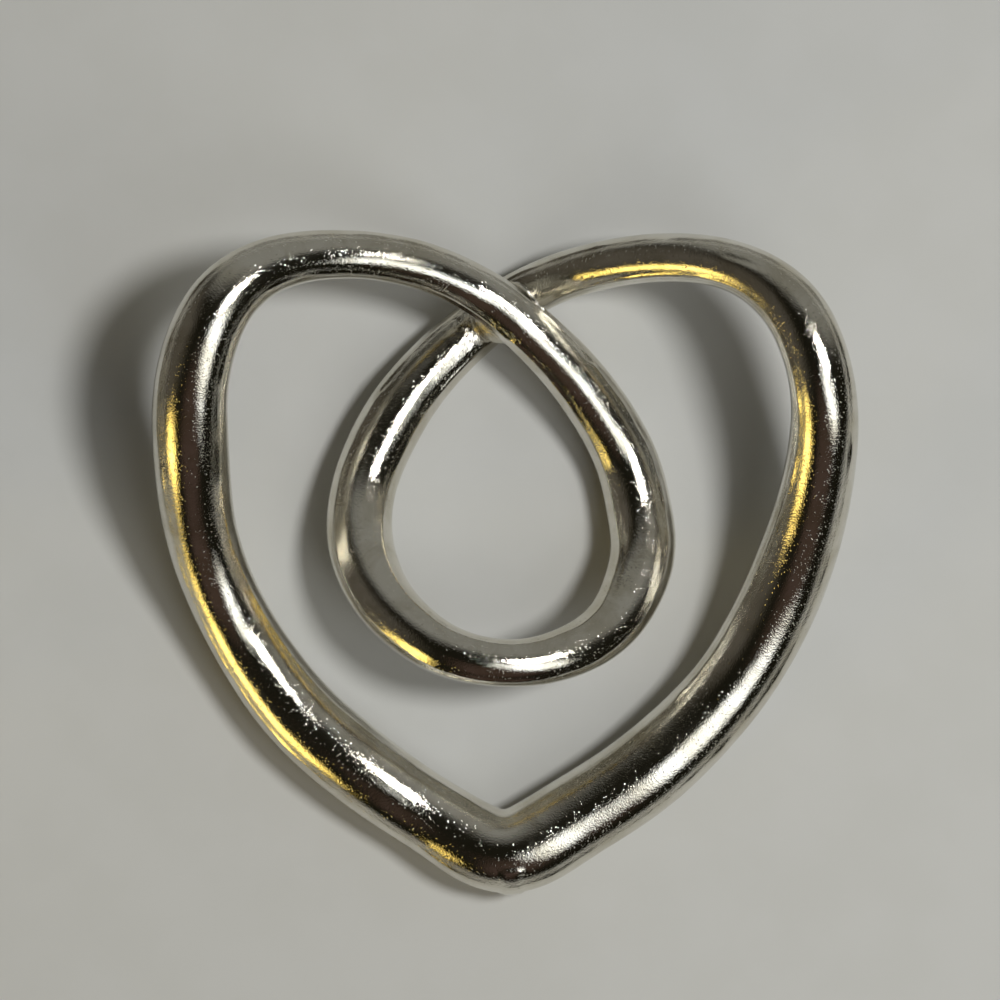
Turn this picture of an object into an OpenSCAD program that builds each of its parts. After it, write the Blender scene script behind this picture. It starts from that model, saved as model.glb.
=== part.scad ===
// Disentanglement puzzle: two heart-shaped ring castings, taken apart and lying on a table.
// Each casting is one endless round strand. It runs from the tip up the left side, over the left
// lobe, across the top and round an inner loop, then under itself, over the right lobe and back
// down the right side to the tip. The lobes and the foot of the inner loop arch up off the table.
// Frame: +X across the pair, +Y from the first casting's tip to its lobes, +Z up, origin on the
// table midway between the two castings.

/* [Casting] */
// Width of one casting over both lobes
heart_w = 49; // [44:0.5:60]
// Thickness of the strand at the tip, where it is thickest
tip_d = 6.3; // [5.6:0.1:6.5]
// Height of the underside of the lobes above the table
lobe_rise = 11; // [10.5:0.25:11.5]

/* [Pair] */
// Distance between the middles of the two castings as they lie
pair_pitch = 64; // [62:1:90]

/* [Smoothness] */
// Sides of the round strand's cross-section
strand_sides = 12; // [8:2:20]
// Cross-sections between one station of the strand and the next
station_steps = 3; // [2:1:4]

/* [Hidden] */

nominal_w = 49;
nominal_tip_d = 6.3;
nominal_rise = 11;
plan_scale = heart_w / nominal_w;
thickness_scale = tip_d / nominal_tip_d;
rise_scale = lobe_rise / nominal_rise;

// Stations along the strand at the nominal size: [x, y, height of the underside, thickness].
left_side = [
    [0, -20.5, 0, 6.3],
    [-5, -18, 0, 5.6],
    [-10.25, -14.4, 0.25, 5.75],
    [-15.05, -10.1, 0.2, 5.6],
    [-18.95, -4.3, 0.9, 5.15],
    [-21.2, 1.5, 3.4, 5.15],
    [-21.8, 7.5, 7, 5.4],
    [-21.55, 13, 9.75, 5.2]
];
left_lobe = [
    [-19.75, 17.75, 11, 4.75],
    [-16.35, 20.6, 10.5, 3.9],
    [-11.5, 21.5, 8.75, 3.35],
    [-6.5, 21, 6.9, 3.35]
];
over_crossing = [
    [-2, 19.2, 4.85, 3.45],
    [1.6, 16.5, 3.7, 3.75]
];
inner_loop = [
    [5.15, 12.9, 1.9, 4.15],
    [8.15, 8.35, 0.25, 4.5],
    [9.4, 4.3, 0, 4.7],
    [9.7, 0.25, 1, 4.7],
    [7.75, -4, 3.5, 4.1],
    [4.25, -6.25, 6, 3.6],
    [0, -6.9, 7.25, 3.3],
    [-4.55, -5.85, 6.75, 3.7],
    [-8.4, -2.7, 4.5, 4.3],
    [-10.2, 1.25, 2, 4.75],
    [-10, 5.5, 0.5, 4.65],
    [-8.1, 9.9, 0, 4.65]
];
under_crossing = [
    [-5.5, 13.5, 0, 4.25],
    [-2.1, 16.7, 0, 3.9],
    [1.85, 19.35, 0.5, 3.55]
];
right_lobe = [
    [6, 20.8, 3.25, 3.4],
    [11, 21.4, 6.25, 3.4],
    [16.05, 20.6, 9, 3.55],
    [20, 17.5, 10.25, 4.35]
];
right_side = [
    [21.95, 12, 10, 4.6],
    [21.8, 6, 6.75, 5.05],
    [20.3, 0, 3.25, 5.6],
    [18.15, -5, 1.5, 5.7],
    [15.25, -9.5, 0.75, 5.7],
    [10.4, -14.35, 0.25, 6.1],
    [5, -18, 0, 6.15]
];
strand = concat(left_side, left_lobe, over_crossing, inner_loop, under_crossing, right_lobe, right_side);
station_count = len(strand);

function unit(v) = v / norm(v);

// A station's centre and radius, at the chosen size: [x, y, z, radius].
function sized(s) = [
    s.x * plan_scale,
    s.y * plan_scale,
    s.z * rise_scale + s[3] * thickness_scale / 2,
    s[3] * thickness_scale / 2
];
function station(i) = sized(strand[(i + station_count) % station_count]);

// Smooth curve through the stations (a uniform Catmull-Rom spline) and its slope.
function blend(a, b, c, d, t) =
    b + (c - a) * t / 2 + (2 * a - 5 * b + 4 * c - d) * t * t / 2 + (3 * b - a - 3 * c + d) * t * t * t / 2;
function slope(a, b, c, d, t) =
    (c - a) / 2 + (2 * a - 5 * b + 4 * c - d) * t + (3 * b - a - 3 * c + d) * t * t * 1.5;
function on_strand(k) = let (
    i = floor(k / station_steps),
    t = k / station_steps - i
) blend(station(i - 1), station(i), station(i + 1), station(i + 2), t);
function along_strand(k) = let (
    i = floor(k / station_steps),
    t = k / station_steps - i,
    s = slope(station(i - 1), station(i), station(i + 1), station(i + 2), t)
) unit([s.x, s.y, s.z]);

// One round cross-section of the strand, square to its run and never below the table.
function ring(k) = let (
    p = on_strand(k),
    run = along_strand(k),
    side = unit(cross([0, 0, 1], run)),
    up = cross(run, side),
    middle = [p.x, p.y, max(p.z, p[3])]
) [
    for (j = [0 : strand_sides - 1])
        middle + p[3] * (cos(360 * j / strand_sides) * side + sin(360 * j / strand_sides) * up)
];

// One casting: the cross-sections joined into a ring without an end.
module heart_casting() {
    ring_count = station_count * station_steps;
    points = [for (k = [0 : ring_count - 1]) each ring(k)];
    skin = [
        for (k = [0 : ring_count - 1], j = [0 : strand_sides - 1])
            let (
                here = k * strand_sides,
                ahead = (k + 1) % ring_count * strand_sides,
                next = (j + 1) % strand_sides
            )
            [here + j, ahead + j, ahead + next, here + next]
    ];
    polyhedron(points, skin);
}

// The casting that lies tip towards the front.
module first_heart() {
    color("silver")
        translate([pair_pitch / 2, 0, 0])
            heart_casting();
}

// Its mate, an equal casting turned half round beside it.
module second_heart() {
    color("silver")
        rotate([0, 0, 180])
            translate([pair_pitch / 2, 0, 0])
                heart_casting();
}

first_heart();
second_heart();
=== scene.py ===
"""Looks for a pair of heart-shaped, nickel-plated ring castings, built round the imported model."""
import logging
import math
from dataclasses import dataclass
from enum import Enum
from typing import Optional

import bpy
import numpy as np
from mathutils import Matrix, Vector


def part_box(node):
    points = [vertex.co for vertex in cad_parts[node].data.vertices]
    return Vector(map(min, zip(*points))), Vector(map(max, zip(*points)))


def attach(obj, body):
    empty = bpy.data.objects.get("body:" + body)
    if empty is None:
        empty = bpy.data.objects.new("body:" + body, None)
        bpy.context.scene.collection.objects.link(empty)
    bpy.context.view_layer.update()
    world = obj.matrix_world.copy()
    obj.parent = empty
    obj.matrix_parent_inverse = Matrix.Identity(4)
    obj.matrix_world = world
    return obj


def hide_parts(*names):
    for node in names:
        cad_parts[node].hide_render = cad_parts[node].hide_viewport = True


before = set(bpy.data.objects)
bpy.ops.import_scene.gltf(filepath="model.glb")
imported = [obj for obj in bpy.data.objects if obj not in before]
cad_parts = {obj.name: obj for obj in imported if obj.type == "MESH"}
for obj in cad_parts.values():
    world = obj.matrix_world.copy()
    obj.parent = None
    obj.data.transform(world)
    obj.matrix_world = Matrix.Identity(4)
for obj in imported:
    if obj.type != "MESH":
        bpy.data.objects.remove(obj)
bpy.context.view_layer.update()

MM = 0.001
WEIGHT_STEPS = 40
PAIRING_ANGLE = math.radians(60)
LOG = logging.getLogger("heart_puzzle")


# ---------------------------------------------------------------- helpers


def deselect_all() -> None:
    """Leaves nothing selected and nothing in edit mode."""
    if bpy.context.object and bpy.context.object.mode != "OBJECT":
        bpy.ops.object.mode_set(mode="OBJECT")
    bpy.ops.object.select_all(action="DESELECT")


def make_active(piece: bpy.types.Object) -> None:
    """Selects one piece alone and makes it the active one.

    Args:
        piece: The object that the next operators act on.
    """
    deselect_all()
    piece.select_set(True)
    bpy.context.view_layer.objects.active = piece


def apply_modifier(piece: bpy.types.Object, kind: str, **settings: object) -> None:
    """Adds a modifier, sets it and applies it.

    Args:
        piece: The object to change.
        kind: Blender's name for the modifier's type.
        settings: The modifier's own settings, by name.
    """
    modifier = piece.modifiers.new(kind.title(), kind)
    for name, value in settings.items():
        setattr(modifier, name, value)
    make_active(piece)
    bpy.ops.object.modifier_apply(modifier=modifier.name)


def copy_of(source: bpy.types.Object, name: str) -> bpy.types.Object:
    """Copies an object with a mesh of its own, free of any parent.

    Args:
        source: The object to copy.
        name: The new object's name.

    Returns:
        The copy, at the origin.
    """
    piece = source.copy()
    piece.data = source.data.copy()
    piece.name = name
    piece.data.name = name
    piece.parent = None
    for key in [key for key in piece.keys() if key.startswith("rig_")]:
        del piece[key]
    bpy.context.scene.collection.objects.link(piece)
    return piece


def join(pieces: list[bpy.types.Object], name: str) -> bpy.types.Object:
    """Joins several pieces into the first of them.

    Args:
        pieces: The objects to join.
        name: The joined object's name.

    Returns:
        The joined object.
    """
    make_active(pieces[0])
    for piece in pieces[1:]:
        piece.select_set(True)
    bpy.ops.object.join()
    pieces[0].name = name
    pieces[0].data.name = name
    return pieces[0]


def vertex_array(piece: bpy.types.Object, field: str) -> np.ndarray:
    """Gives a three-part field of every vertex as an array of one row each.

    Args:
        piece: The object to read.
        field: The field's name, such as "co" or "normal".

    Returns:
        The array.
    """
    flat = np.zeros(len(piece.data.vertices) * 3)
    piece.data.vertices.foreach_get(field, flat)
    return flat.reshape(-1, 3)


def cloud(name: str, grain: float, depth: int = 2) -> bpy.types.Texture:
    """Makes a cloudy pattern for pressing into a surface.

    Args:
        name: The pattern's name.
        grain: The size of its patches, in metres.
        depth: How many finer layers it has.

    Returns:
        The pattern, with values from 0 to 1.
    """
    pattern = bpy.data.textures.new(name, "CLOUDS")
    pattern.noise_scale = grain
    pattern.noise_depth = depth
    return pattern


def press(
    piece: bpy.types.Object,
    weights: np.ndarray,
    height: float,
    pattern: Optional[bpy.types.Texture] = None,
    level: float = 0.0,
) -> None:
    """Raises or sinks part of a piece's surface along its normals.

    Args:
        piece: The object to change.
        weights: How much each vertex takes part, from 0 to 1.
        height: How far the surface rises at most, in metres, or sinks if it is negative.
        pattern: A pattern that breaks the height up.
        level: The pattern's value that leaves the surface where it is.
    """
    group = piece.vertex_groups.new(name="pressed")
    levels = np.round(np.clip(weights, 0, 1) * WEIGHT_STEPS).astype(int)
    for step in np.unique(levels[levels > 0]):
        group.add(np.flatnonzero(levels == step).tolist(), step / WEIGHT_STEPS, "REPLACE")
    settings = {"strength": height, "mid_level": level, "vertex_group": group.name, "texture_coords": "LOCAL"}
    if pattern:
        settings["texture"] = pattern
    apply_modifier(piece, "DISPLACE", **settings)
    piece.vertex_groups.remove(piece.vertex_groups["pressed"])


@dataclass(frozen=True)
class Relief:
    """A cloudy unevenness of a surface: how high it is and how wide its patches are, in metres."""

    name: str
    height: float
    grain: float
    depth: int = 2

    def pattern(self) -> bpy.types.Texture:
        """Gives the pattern that breaks up the surface."""
        return cloud(self.name, self.grain, self.depth)


# ---------------------------------------------------------------- finishes


def add_node(
    tree: bpy.types.NodeTree, kind: str, links: Optional[dict] = None, **settings: object
) -> bpy.types.Node:
    """Adds a node, sets its properties and connects or fills its inputs.

    Args:
        tree: The node tree.
        kind: The node's type.
        links: What goes into each input: a socket, or a plain value.
        settings: The node's own properties, by name.

    Returns:
        The new node.
    """
    node = tree.nodes.new(kind)
    for name, value in settings.items():
        setattr(node, name, value)
    for key, value in (links or {}).items():
        if isinstance(value, bpy.types.NodeSocket):
            tree.links.new(value, node.inputs[key])
        else:
            node.inputs[key].default_value = value
    return node


def combine(tree: bpy.types.NodeTree, operation: str, first: object, second: object) -> bpy.types.NodeSocket:
    """Does one sum on two values of a node tree.

    Args:
        tree: The node tree.
        operation: The sum, such as "ADD" or "MULTIPLY".
        first: A socket or a number.
        second: A socket or a number.

    Returns:
        The socket that holds the result.
    """
    return add_node(tree, "ShaderNodeMath", {0: first, 1: second}, operation=operation).outputs[0]


def remap(
    tree: bpy.types.NodeTree, value: bpy.types.NodeSocket, old: tuple[float, float], new: tuple[float, float]
) -> bpy.types.NodeSocket:
    """Carries a value smoothly from one range to another, and holds it there.

    Args:
        tree: The node tree.
        value: The value to carry over.
        old: The range that it comes from.
        new: The range that it ends in.

    Returns:
        The socket that holds the result.
    """
    links = {"Value": value, "From Min": old[0], "From Max": old[1], "To Min": new[0], "To Max": new[1]}
    return add_node(tree, "ShaderNodeMapRange", links, interpolation_type="SMOOTHSTEP").outputs["Result"]


class SurfaceGroup(Enum):
    """The shared shader groups, by name."""

    CAST_SKIN = "cast_skin"
    HANDLING = "handling"


def open_group(kind: SurfaceGroup, inputs: dict[str, float], outputs: tuple[str, ...]) -> bpy.types.NodeTree:
    """Starts a shader group that has a vector input, number inputs and number outputs.

    Args:
        kind: Which group it is.
        inputs: Each number input's name and its usual value.
        outputs: The outputs' names.

    Returns:
        The group's tree, with a node named In and a node named Out.
    """
    group = bpy.data.node_groups.new(kind.value, "ShaderNodeTree")
    group.interface.new_socket("Vector", in_out="INPUT", socket_type="NodeSocketVector")
    for name, value in inputs.items():
        socket = group.interface.new_socket(name, in_out="INPUT", socket_type="NodeSocketFloat")
        socket.default_value = value
    for name in outputs:
        group.interface.new_socket(name, in_out="OUTPUT", socket_type="NodeSocketFloat")
    group.nodes.new("NodeGroupInput").name = "In"
    group.nodes.new("NodeGroupOutput").name = "Out"
    return group


def cast_skin() -> bpy.types.NodeTree:
    """Builds the height of a plated casting's skin: faint grain, and specks that gather in patches.

    Returns:
        The group, with one output, Height.
    """
    grain_share = 1.4
    speck_edge = (0.06, 0.36)
    patch_scale = 520.0
    patch_edge = (0.38, 0.62)
    scarcity_range = (0.8, 0.25)

    group = open_group(SurfaceGroup.CAST_SKIN, {"Grain": 7000.0, "Specks": 4200.0}, ("Height",))
    given = group.nodes["In"].outputs
    place = given["Vector"]
    grain = add_node(
        group, "ShaderNodeTexNoise",
        {"Vector": place, "Scale": given["Grain"], "Detail": 2.0, "Roughness": 0.55},
    )
    faint = combine(group, "MULTIPLY", grain.outputs["Fac"], grain_share)
    cells = add_node(
        group, "ShaderNodeTexVoronoi", {"Vector": place, "Scale": given["Specks"], "Randomness": 1.0}
    )
    speck = remap(group, cells.outputs["Distance"], speck_edge, (1.0, 0.0))
    patches = add_node(group, "ShaderNodeTexNoise", {"Vector": place, "Scale": patch_scale, "Detail": 2.0})
    scarcity = remap(group, patches.outputs["Fac"], patch_edge, scarcity_range)
    chance = add_node(
        group, "ShaderNodeTexWhiteNoise", {"Vector": cells.outputs["Position"]}
    ).outputs["Value"]
    chosen = combine(group, "GREATER_THAN", chance, scarcity)
    raised = combine(group, "MULTIPLY", speck, chosen)
    group.links.new(combine(group, "ADD", faint, raised), group.nodes["Out"].inputs["Height"])
    return group


def handling() -> bpy.types.NodeTree:
    """Builds the marks of handling: a cloudy film, and fine scratches that run one way.

    Returns:
        The group, with the outputs Film and Scratches, each from 0 to 1.
    """
    scratch_turn = (0.3, 0.2, 0.9)
    scratch_stretch = (1.0, 0.05, 1.0)
    film_edge = (0.35, 0.7)
    scratch_edge = (0.66, 0.76)

    group = open_group(SurfaceGroup.HANDLING, {"Film": 260.0, "Scratches": 2400.0}, ("Film", "Scratches"))
    given = group.nodes["In"].outputs
    place = given["Vector"]
    film = add_node(
        group, "ShaderNodeTexNoise",
        {"Vector": place, "Scale": given["Film"], "Detail": 4.0, "Roughness": 0.6, "Distortion": 0.6},
    )
    turned = add_node(
        group, "ShaderNodeMapping", {"Vector": place, "Rotation": scratch_turn, "Scale": scratch_stretch}
    )
    lines = add_node(
        group, "ShaderNodeTexNoise",
        {"Vector": turned.outputs["Vector"], "Scale": given["Scratches"], "Detail": 1.0},
    )
    results = group.nodes["Out"].inputs
    group.links.new(remap(group, film.outputs["Fac"], film_edge, (0.0, 1.0)), results["Film"])
    group.links.new(remap(group, lines.outputs["Fac"], scratch_edge, (0.0, 1.0)), results["Scratches"])
    return group


@dataclass(frozen=True)
class NickelPlate:
    """Bright nickel plate over a finely specked zinc die casting.

    Each pair of colours or roughnesses runs from clean plate to plate under a film of handling.
    """

    name: str = "nickel_plate"
    bright: tuple[float, float, float] = (0.74, 0.715, 0.64)
    filmed: tuple[float, float, float] = (0.58, 0.545, 0.45)
    roughness: tuple[float, float] = (0.07, 0.14)
    grain: float = 8500.0
    specks: float = 5200.0
    relief: float = 0.011 * MM
    scratch_dulling: float = 0.04

    def material(self, skin: bpy.types.NodeTree, marks: bpy.types.NodeTree) -> bpy.types.Material:
        """Builds the plate's material.

        Args:
            skin: The shared group of cast grain and specks.
            marks: The shared group of film and scratches.

        Returns:
            A metal whose colour, roughness and normal vary over the surface.
        """
        material = bpy.data.materials.new(self.name)
        material.use_nodes = True
        tree = material.node_tree
        shader = tree.nodes["Principled BSDF"]
        shader.inputs["Metallic"].default_value = 1.0
        place = add_node(tree, "ShaderNodeTexCoord").outputs["Object"]
        worn = add_node(tree, "ShaderNodeGroup", {}, node_tree=marks)
        tree.links.new(place, worn.inputs["Vector"])
        rough = add_node(tree, "ShaderNodeGroup", {}, node_tree=skin)
        tree.links.new(place, rough.inputs["Vector"])
        rough.inputs["Grain"].default_value = self.grain
        rough.inputs["Specks"].default_value = self.specks
        colour = add_node(tree, "ShaderNodeMix", {}, data_type="RGBA")
        tree.links.new(worn.outputs["Film"], colour.inputs["Factor"])
        colour.inputs["A"].default_value = (*self.bright, 1.0)
        colour.inputs["B"].default_value = (*self.filmed, 1.0)
        tree.links.new(colour.outputs["Result"], shader.inputs["Base Color"])
        dull = remap(tree, worn.outputs["Film"], (0.0, 1.0), self.roughness)
        scratched = combine(tree, "MULTIPLY", worn.outputs["Scratches"], self.scratch_dulling)
        tree.links.new(combine(tree, "ADD", dull, scratched), shader.inputs["Roughness"])
        bump = add_node(
            tree, "ShaderNodeBump",
            {"Height": rough.outputs["Height"], "Strength": 1.0, "Distance": self.relief},
        )
        tree.links.new(bump.outputs["Normal"], shader.inputs["Normal"])
        return material


@dataclass(frozen=True)
class PalePaper:
    """Smooth pale paper that the castings lie on."""

    name: str = "pale_paper"
    light: tuple[float, float, float] = (0.655, 0.658, 0.636)
    dark: tuple[float, float, float] = (0.642, 0.645, 0.62)
    mottle: float = 160.0

    def material(self) -> bpy.types.Material:
        """Builds the paper's material.

        Returns:
            A dull, faintly mottled material.
        """
        material = bpy.data.materials.new(self.name)
        material.use_nodes = True
        tree = material.node_tree
        shader = tree.nodes["Principled BSDF"]
        shader.inputs["Roughness"].default_value = 0.9
        shader.inputs["Specular IOR Level"].default_value = 0.2
        place = add_node(tree, "ShaderNodeTexCoord").outputs["Object"]
        mottle = add_node(tree, "ShaderNodeTexNoise", {"Vector": place, "Scale": self.mottle, "Detail": 5.0})
        colour = add_node(tree, "ShaderNodeMix", {}, data_type="RGBA")
        tree.links.new(remap(tree, mottle.outputs["Fac"], (0.35, 0.65), (0.0, 1.0)), colour.inputs["Factor"])
        colour.inputs["A"].default_value = (*self.light, 1.0)
        colour.inputs["B"].default_value = (*self.dark, 1.0)
        tree.links.new(colour.outputs["Result"], shader.inputs["Base Color"])
        return material


# ---------------------------------------------------------------- castings


@dataclass(frozen=True)
class Spot:
    """A small feature on a casting: where it is and how far it reaches, in millimetres."""

    x: float
    y: float
    reach: float


@dataclass
class HeartCasting:
    """One heart-shaped ring casting: an endless round strand that is joined where it crosses itself.

    Places on the casting and the sizes of its features are in millimetres from its own middle, tip
    towards -Y. Fields that are multiplied by MM are in metres.
    """

    name: str
    body: str
    turn: int = 1
    reach: float = 32 * MM
    levels: int = 3
    merge_gap: float = 0.002 * MM
    slimming: float = 0.075 * MM
    long_waves: Relief = Relief("long_waves", 0.03 * MM, 3.2 * MM, 1)
    short_waves: Relief = Relief("short_waves", 0.008 * MM, 0.9 * MM, 1)
    flash_line: Relief = Relief("ragged_line", 0.15 * MM, 2.6 * MM, 1)
    die_marks: Relief = Relief("die_marks", 0.2 * MM, 0.3 * MM)
    web_lumps: Relief = Relief("web_lumps", 0.03 * MM, 0.5 * MM)
    nib_edges: Relief = Relief("nib_edges", 0.1 * MM, 0.2 * MM)
    inside: tuple[float, float] = (0.0, 3.0)
    loop_reach: float = 12.6
    flash_on_loop: float = 40.0
    flash_on_heart: float = 33.0
    flash_spread: float = 4.6
    rough_patch: Spot = Spot(-2.6, 16.3, 1.6)
    rough_patch_top: float = 4.2
    tip_pad: Spot = Spot(0.4, -21.5, 0.75)
    tip_pad_foot: float = 2.2
    tip_pad_height: float = 0.13 * MM
    crease: Spot = Spot(15.2, 21.35, 2.6)
    crease_way: tuple[float, float] = (0.94, -0.34)
    crease_width: float = 0.2
    crease_foot: float = 11.0
    crease_depth: float = 0.05 * MM
    web_levels: int = 2
    web_window: Spot = Spot(0.3, 17.7, 3.9)
    web_window_depth: float = 14 * MM
    web_core: Spot = Spot(-0.15, 17.65, 2.2)
    web_core_height: float = 1.8
    web_core_level: float = 4.0
    web_sink: float = 0.015 * MM
    web_smoothing: int = 14
    voxel: float = 0.13 * MM
    nib_count: int = 6
    first_nib: tuple[float, float, float] = (2.1, 18.35, 6.55)
    nib_run: tuple[float, float, float] = (2.4, -2.35, -0.85)
    nib_radius: tuple[float, float] = (0.34, 0.22)

    def build(self, plate: bpy.types.Material, rough_plate: bpy.types.Material) -> None:
        """Builds the strand, the web and the nibs at its crossing, and puts them in the frame.

        Args:
            plate: The finish of the strand.
            rough_plate: The finish of the web.
        """
        web = self._web()
        strand = self._strand()
        for piece, finish in ((strand, plate), (web, rough_plate), (self._nibs(), rough_plate)):
            piece.data.materials.clear()
            piece.data.materials.append(finish)
            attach(piece, self.body)
            LOG.info("%s: %d faces", piece.name, len(piece.data.polygons))
        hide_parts(self.name)

    # ---- places

    def _place(self, x: float, y: float, z: float) -> Vector:
        """Turns a place on the casting, in millimetres, into a place in the frame.

        Args:
            x: Across the casting, towards its right lobe.
            y: Along the casting, from the tip towards the lobes.
            z: Height above the table.

        Returns:
            The place in the frame, in metres.
        """
        return Vector((self.turn * (self.reach + x * MM), self.turn * y * MM, z * MM))

    def _local(self, piece: bpy.types.Object) -> np.ndarray:
        """Gives every vertex's place on the casting.

        Args:
            piece: The object to read.

        Returns:
            One row of x, y and z in millimetres for each vertex.
        """
        spots = vertex_array(piece, "co") * (self.turn, self.turn, 1)
        return (spots - (self.reach, 0, 0)) / MM

    def _facing(self, piece: bpy.types.Object) -> tuple[np.ndarray, np.ndarray]:
        """Gives which way each vertex faces.

        Args:
            piece: The object to read.

        Returns:
            How steeply each vertex faces up, in degrees, and whether it faces away from the inside.
        """
        spots = self._local(piece)
        ways = vertex_array(piece, "normal") * (self.turn, self.turn, 1)
        steepness = np.degrees(np.arcsin(np.clip(ways[:, 2], -1, 1)))
        outward = (ways[:, :2] * (spots[:, :2] - self.inside)).sum(axis=1) > 0
        return steepness, outward

    def _near(self, piece: bpy.types.Object, spot: Spot) -> np.ndarray:
        """Gives weights that fade away from a spot on the casting, seen from above.

        Args:
            piece: The object to read.
            spot: The spot, and how far its weights reach.

        Returns:
            One weight for each vertex, from 0 to 1.
        """
        away = np.linalg.norm(self._local(piece)[:, :2] - (spot.x, spot.y), axis=1)
        return np.exp(-((away / spot.reach) ** 2))

    # ---- the strand

    def _strand(self) -> bpy.types.Object:
        """Builds the smooth strand from the casting's plain CAD shape.

        Returns:
            The finished strand.
        """
        strand = self._quads(f"{self.name}_strand")
        apply_modifier(strand, "SUBSURF", levels=self.levels, render_levels=self.levels)
        everywhere = np.ones(len(strand.data.vertices))
        press(strand, everywhere, self.slimming)
        self._waves(strand, everywhere)
        self._flash_lines(strand)
        self._marks(strand)
        make_active(strand)
        bpy.ops.object.shade_smooth()
        return strand

    def _quads(self, name: str) -> bpy.types.Object:
        """Copies the CAD shape, merges its loose triangles and pairs them into four-sided faces.

        Args:
            name: The copy's name.

        Returns:
            The copy.
        """
        piece = copy_of(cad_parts[self.name], name)
        make_active(piece)
        bpy.ops.object.mode_set(mode="EDIT")
        bpy.ops.mesh.select_all(action="SELECT")
        bpy.ops.mesh.remove_doubles(threshold=self.merge_gap)
        bpy.ops.mesh.tris_convert_to_quads(face_threshold=PAIRING_ANGLE, shape_threshold=PAIRING_ANGLE)
        bpy.ops.object.mode_set(mode="OBJECT")
        counts = np.bincount([len(face.vertices) for face in piece.data.polygons], minlength=5)
        LOG.info("%s: %d quads and %d triangles before smoothing", name, counts[4], counts[3])
        return piece

    def _waves(self, strand: bpy.types.Object, everywhere: np.ndarray) -> None:
        """Gives the strand the slight unevenness of a casting that was tumbled and not ground."""
        for waves in (self.long_waves, self.short_waves):
            press(strand, everywhere, waves.height, waves.pattern(), 0.5)

    def _flash_lines(self, strand: bpy.types.Object) -> None:
        """Raises the ragged lines along both flanks where the two halves of the die met."""
        ragged = self.flash_line.pattern()
        on_loop = np.linalg.norm(self._local(strand)[:, :2] - self.inside, axis=1) < self.loop_reach
        steepness, outward = self._facing(strand)
        line_height = np.where(on_loop, self.flash_on_loop, self.flash_on_heart)
        line = np.exp(-(((steepness - line_height) / self.flash_spread) ** 2))
        for side in (outward, ~outward):
            press(strand, line * side, self.flash_line.height, ragged)

    def _marks(self, strand: bpy.types.Object) -> None:
        """Adds the rough patch by the crossing, the gate's mark at the tip and a crease on the right lobe."""
        steepness, _ = self._facing(strand)
        low = self._local(strand)[:, 2] < self.rough_patch_top
        rough = self._near(strand, self.rough_patch) * low * (steepness > 0)
        press(strand, rough, self.die_marks.height, self.die_marks.pattern(), 0.6)
        spots = self._local(strand)
        across = np.abs(spots[:, 0] - self.tip_pad.x) < self.tip_pad.reach
        pad = across * (spots[:, 1] < self.tip_pad.y) * (spots[:, 2] > self.tip_pad_foot)
        press(strand, pad.astype(float), self.tip_pad_height)
        from_start = spots[:, :2] - (self.crease.x, self.crease.y)
        along = np.clip(from_start @ self.crease_way, 0, self.crease.reach)[:, None] * self.crease_way
        away = np.linalg.norm(from_start - along, axis=1)
        line = np.exp(-((away / self.crease_width) ** 2))
        press(strand, line * (spots[:, 2] > self.crease_foot), -self.crease_depth)

    # ---- the web

    def _web(self) -> bpy.types.Object:
        """Builds the web of metal that joins the two runs of the strand where they cross.

        Returns:
            The web: both runs near the crossing, fused and rounded, lying just under the strand's skin.
        """
        web = self._quads(f"{self.name}_web")
        apply_modifier(web, "SUBSURF", levels=self.web_levels, render_levels=self.web_levels)
        press(web, np.ones(len(web.data.vertices)), self.slimming)
        deselect_all()
        bpy.ops.mesh.primitive_cylinder_add(
            vertices=48,
            radius=self.web_window.reach * MM,
            depth=self.web_window_depth,
            location=self._place(self.web_window.x, self.web_window.y, 5),
        )
        window = bpy.context.object
        apply_modifier(web, "BOOLEAN", operation="INTERSECT", object=window, solver="EXACT")
        bpy.data.objects.remove(window)
        web = join([web, self._core()], web.name)
        apply_modifier(web, "REMESH", mode="VOXEL", voxel_size=self.voxel)
        apply_modifier(web, "SMOOTH", factor=0.5, iterations=self.web_smoothing)
        apply_modifier(web, "DISPLACE", strength=-self.web_sink, mid_level=0.0)
        everywhere = np.ones(len(web.data.vertices))
        press(web, everywhere, self.web_lumps.height, self.web_lumps.pattern(), 0.5)
        make_active(web)
        bpy.ops.object.shade_smooth()
        return web

    def _core(self) -> bpy.types.Object:
        """Builds the core of the web, which fills the gap between the two runs.

        Returns:
            The core, a squat ball in the crossing.
        """
        deselect_all()
        bpy.ops.mesh.primitive_uv_sphere_add(segments=32, ring_count=20, radius=MM, location=(0, 0, 0))
        core = bpy.context.object
        core.scale = (self.web_core.reach, self.web_core.reach, self.web_core_height)
        core.location = self._place(self.web_core.x, self.web_core.y, self.web_core_level)
        bpy.ops.object.transform_apply(location=True, rotation=True, scale=True)
        return core

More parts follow.
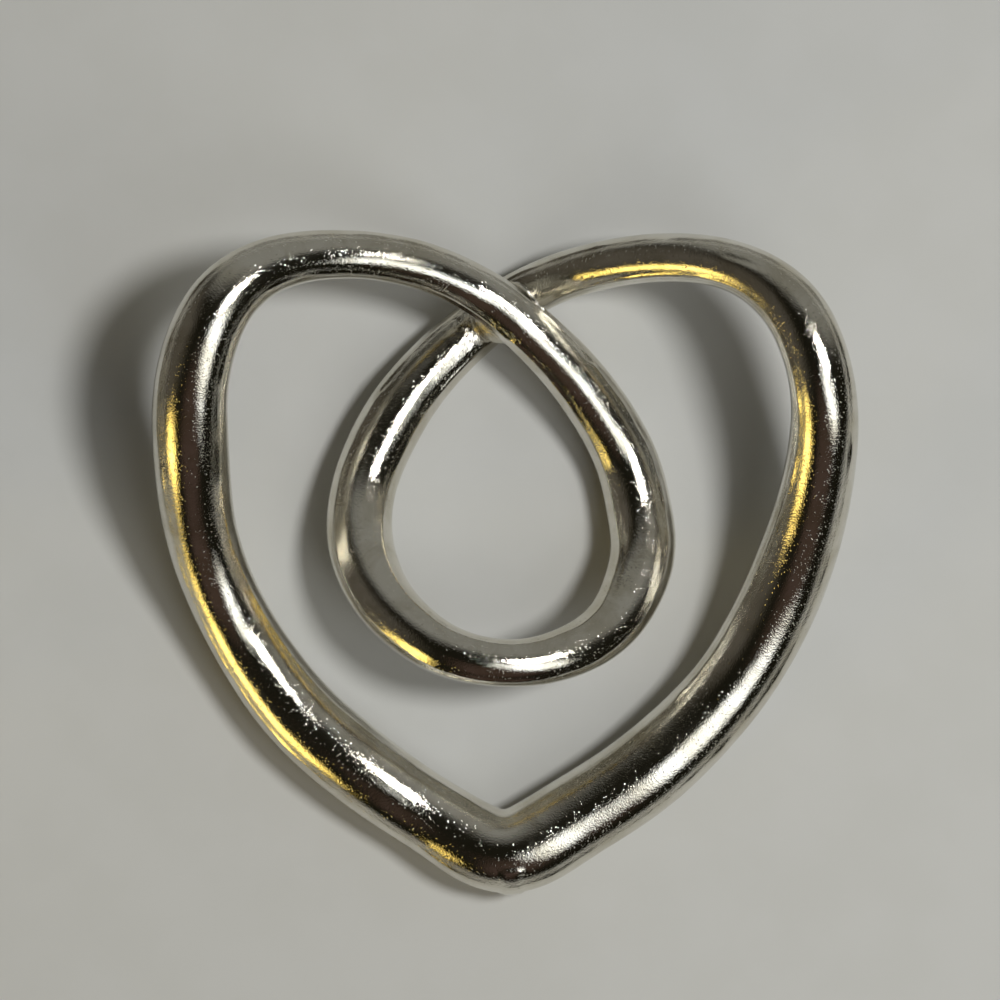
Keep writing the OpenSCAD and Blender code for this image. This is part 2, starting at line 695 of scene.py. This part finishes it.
    def _nibs(self) -> bpy.types.Object:
        """Builds the jagged nibs of flash left beside the crossing, on the upper run's outer flank.

        Returns:
            The nibs, as one piece.
        """
        nibs = []
        start = np.array(self.first_nib)
        largest, smallest = self.nib_radius
        for step in range(self.nib_count):
            share = step / (self.nib_count - 1)
            deselect_all()
            radius = largest + (smallest - largest) * share
            bpy.ops.mesh.primitive_ico_sphere_add(subdivisions=2, radius=radius * MM)
            nib = bpy.context.object
            nib.scale = (1.3 + 0.5 * math.sin(5 * step), 0.5, 0.4)
            nib.rotation_euler = (0.5, 0.35 * step, math.radians(-45) + 0.4 * math.sin(3 * step))
            nib.location = self._place(*(start + np.array(self.nib_run) * share))
            bpy.ops.object.transform_apply(location=True, rotation=True, scale=True)
            edges = self.nib_edges
            apply_modifier(nib, "DISPLACE", strength=edges.height, texture=edges.pattern(), mid_level=0.5)
            nibs.append(nib)
        return join(nibs, f"{self.name}_nibs")


# ---------------------------------------------------------------- studio


def heading(azimuth: float, elevation: float) -> Vector:
    """Gives the direction of a lamp or patch.

    Args:
        azimuth: Degrees from +X, turning towards +Y.
        elevation: Degrees up from the table.

    Returns:
        A vector of length 1.
    """
    turn, rise = math.radians(azimuth), math.radians(elevation)
    return Vector((math.cos(rise) * math.cos(turn), math.cos(rise) * math.sin(turn), math.sin(rise)))


@dataclass(frozen=True)
class RoomPatch:
    """One soft patch of brightness in the dim room: full within its core, and gone past its edge.

    The angles are in degrees, and core and edge are measured from the patch's middle.
    """

    azimuth: float
    elevation: float
    core: float
    edge: float
    colour: tuple[float, float, float]


@dataclass(frozen=True)
class Lamp:
    """One soft oval lamp, placed by its direction and distance from the middle of the view."""

    name: str
    azimuth: float
    elevation: float
    distance: float
    width: float
    height: float
    power: float
    colour: tuple[float, float, float]

    def hang(self, target: Vector) -> None:
        """Hangs the lamp so that it faces the target.

        Args:
            target: The point that it lights.
        """
        light = bpy.data.lights.new(self.name, "AREA")
        light.shape = "ELLIPSE"
        light.size = self.width
        light.size_y = self.height
        light.energy = self.power
        light.color = self.colour
        lamp = bpy.data.objects.new(self.name, light)
        way = heading(self.azimuth, self.elevation)
        lamp.location = target + way * self.distance
        lamp.rotation_euler = (-way).to_track_quat("-Z", "Y").to_euler()
        bpy.context.scene.collection.objects.link(lamp)


@dataclass
class Studio:
    """The paper, the lamps, the dim room and the camera over the first casting."""

    subject: str = "first_heart"
    view_width: float = 71.4 * MM
    camera_height: float = 350 * MM
    sensor: float = 36.0
    paper_side: float = 1.6
    aim: tuple[float, float] = (-0.33 * MM, 4.7 * MM)
    room_base: tuple[float, float, float] = (0.010, 0.009, 0.006)
    room_stir: float = 0.5
    lamps: tuple[Lamp, ...] = (
        Lamp("main_lamp", 12, 65, 0.43, 0.085, 0.085, 0.92, (1.0, 1.0, 0.99)),
        Lamp("fill_lamp", -44, 54, 0.5, 0.2, 0.4, 0.43, (0.98, 1.0, 1.0)),
        Lamp("warm_lamp", 219, 14, 0.45, 0.18, 0.15, 0.26, (1.0, 0.74, 0.2)),
    )
    patches: tuple[RoomPatch, ...] = (
        RoomPatch(72, 12, 35, 62, (0.225, 0.225, 0.21)),
        RoomPatch(-92, 42, 15, 34, (0.05, 0.031, 0.026)),
        RoomPatch(175, 8, 22, 52, (0.08, 0.072, 0.06)),
    )

    def middle(self) -> Vector:
        """Gives the point on the table under the camera."""
        low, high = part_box(self.subject)
        return Vector(((low.x + high.x) / 2 + self.aim[0], (low.y + high.y) / 2 + self.aim[1], 0.0))

    def build(self) -> None:
        """Lays the paper, hangs the lamps, dims the room and sets up the camera."""
        self._paper()
        for lamp in self.lamps:
            lamp.hang(self.middle())
        self._room()
        self._camera()

    def _paper(self) -> None:
        """Lays a wide sheet of paper on the table."""
        deselect_all()
        bpy.ops.mesh.primitive_plane_add(size=self.paper_side, location=(0, 0, 0))
        paper = bpy.context.object
        paper.name = "paper"
        paper.data.materials.append(PalePaper().material())

    def _room(self) -> None:
        """Makes the room dark overhead, with soft patches of light round its sides."""
        world = bpy.data.worlds.new("room")
        world.use_nodes = True
        tree = world.node_tree
        background = tree.nodes["Background"]
        way = add_node(tree, "ShaderNodeTexCoord").outputs["Generated"]
        stir = add_node(tree, "ShaderNodeTexNoise", {"Vector": way, "Scale": 2.2, "Detail": 3.0})
        offset = add_node(
            tree, "ShaderNodeVectorMath", {0: stir.outputs["Color"], 1: (0.5, 0.5, 0.5)}, operation="SUBTRACT"
        )
        scaled = add_node(
            tree, "ShaderNodeVectorMath", {0: offset.outputs[0], "Scale": self.room_stir}, operation="SCALE"
        )
        stirred = add_node(tree, "ShaderNodeVectorMath", {0: way, 1: scaled.outputs[0]}, operation="ADD")
        total = None
        for patch in self.patches:
            middle = heading(patch.azimuth, patch.elevation)
            nearness = add_node(
                tree, "ShaderNodeVectorMath", {0: stirred.outputs[0], 1: middle}, operation="DOT_PRODUCT"
            ).outputs["Value"]
            limits = (math.cos(math.radians(patch.edge)), math.cos(math.radians(patch.core)))
            mask = remap(tree, nearness, limits, (0.0, 1.0))
            tint = add_node(
                tree, "ShaderNodeVectorMath", {0: patch.colour, "Scale": mask}, operation="SCALE"
            ).outputs[0]
            base = total or self.room_base
            total = add_node(tree, "ShaderNodeVectorMath", {0: base, 1: tint}, operation="ADD").outputs[0]
        tree.links.new(total, background.inputs["Color"])
        bpy.context.scene.world = world

    def _camera(self) -> None:
        """Puts the camera straight above the first casting."""
        data = bpy.data.cameras.new("camera")
        data.sensor_width = self.sensor
        data.lens = self.sensor * self.camera_height / self.view_width
        data.clip_start = 10 * MM
        camera = bpy.data.objects.new("camera", data)
        camera.location = self.middle() + Vector((0, 0, self.camera_height))
        bpy.context.scene.collection.objects.link(camera)
        bpy.context.scene.camera = camera
        bpy.context.scene.view_settings.view_transform = "Standard"


def main() -> None:
    """Builds the two castings and the studio round them."""
    logging.basicConfig(level=logging.INFO, format="%(message)s")
    Studio().build()
    skin = cast_skin()
    marks = handling()
    plate = NickelPlate().material(skin, marks)
    rough_plate = NickelPlate(
        "rough_nickel_plate", roughness=(0.14, 0.26), specks=2600.0, relief=0.035 * MM
    )
    web_finish = rough_plate.material(skin, marks)
    HeartCasting("first_heart", "first_casting").build(plate, web_finish)
    HeartCasting("second_heart", "second_casting", turn=-1).build(plate, web_finish)


if __name__ == "__main__":
    main()
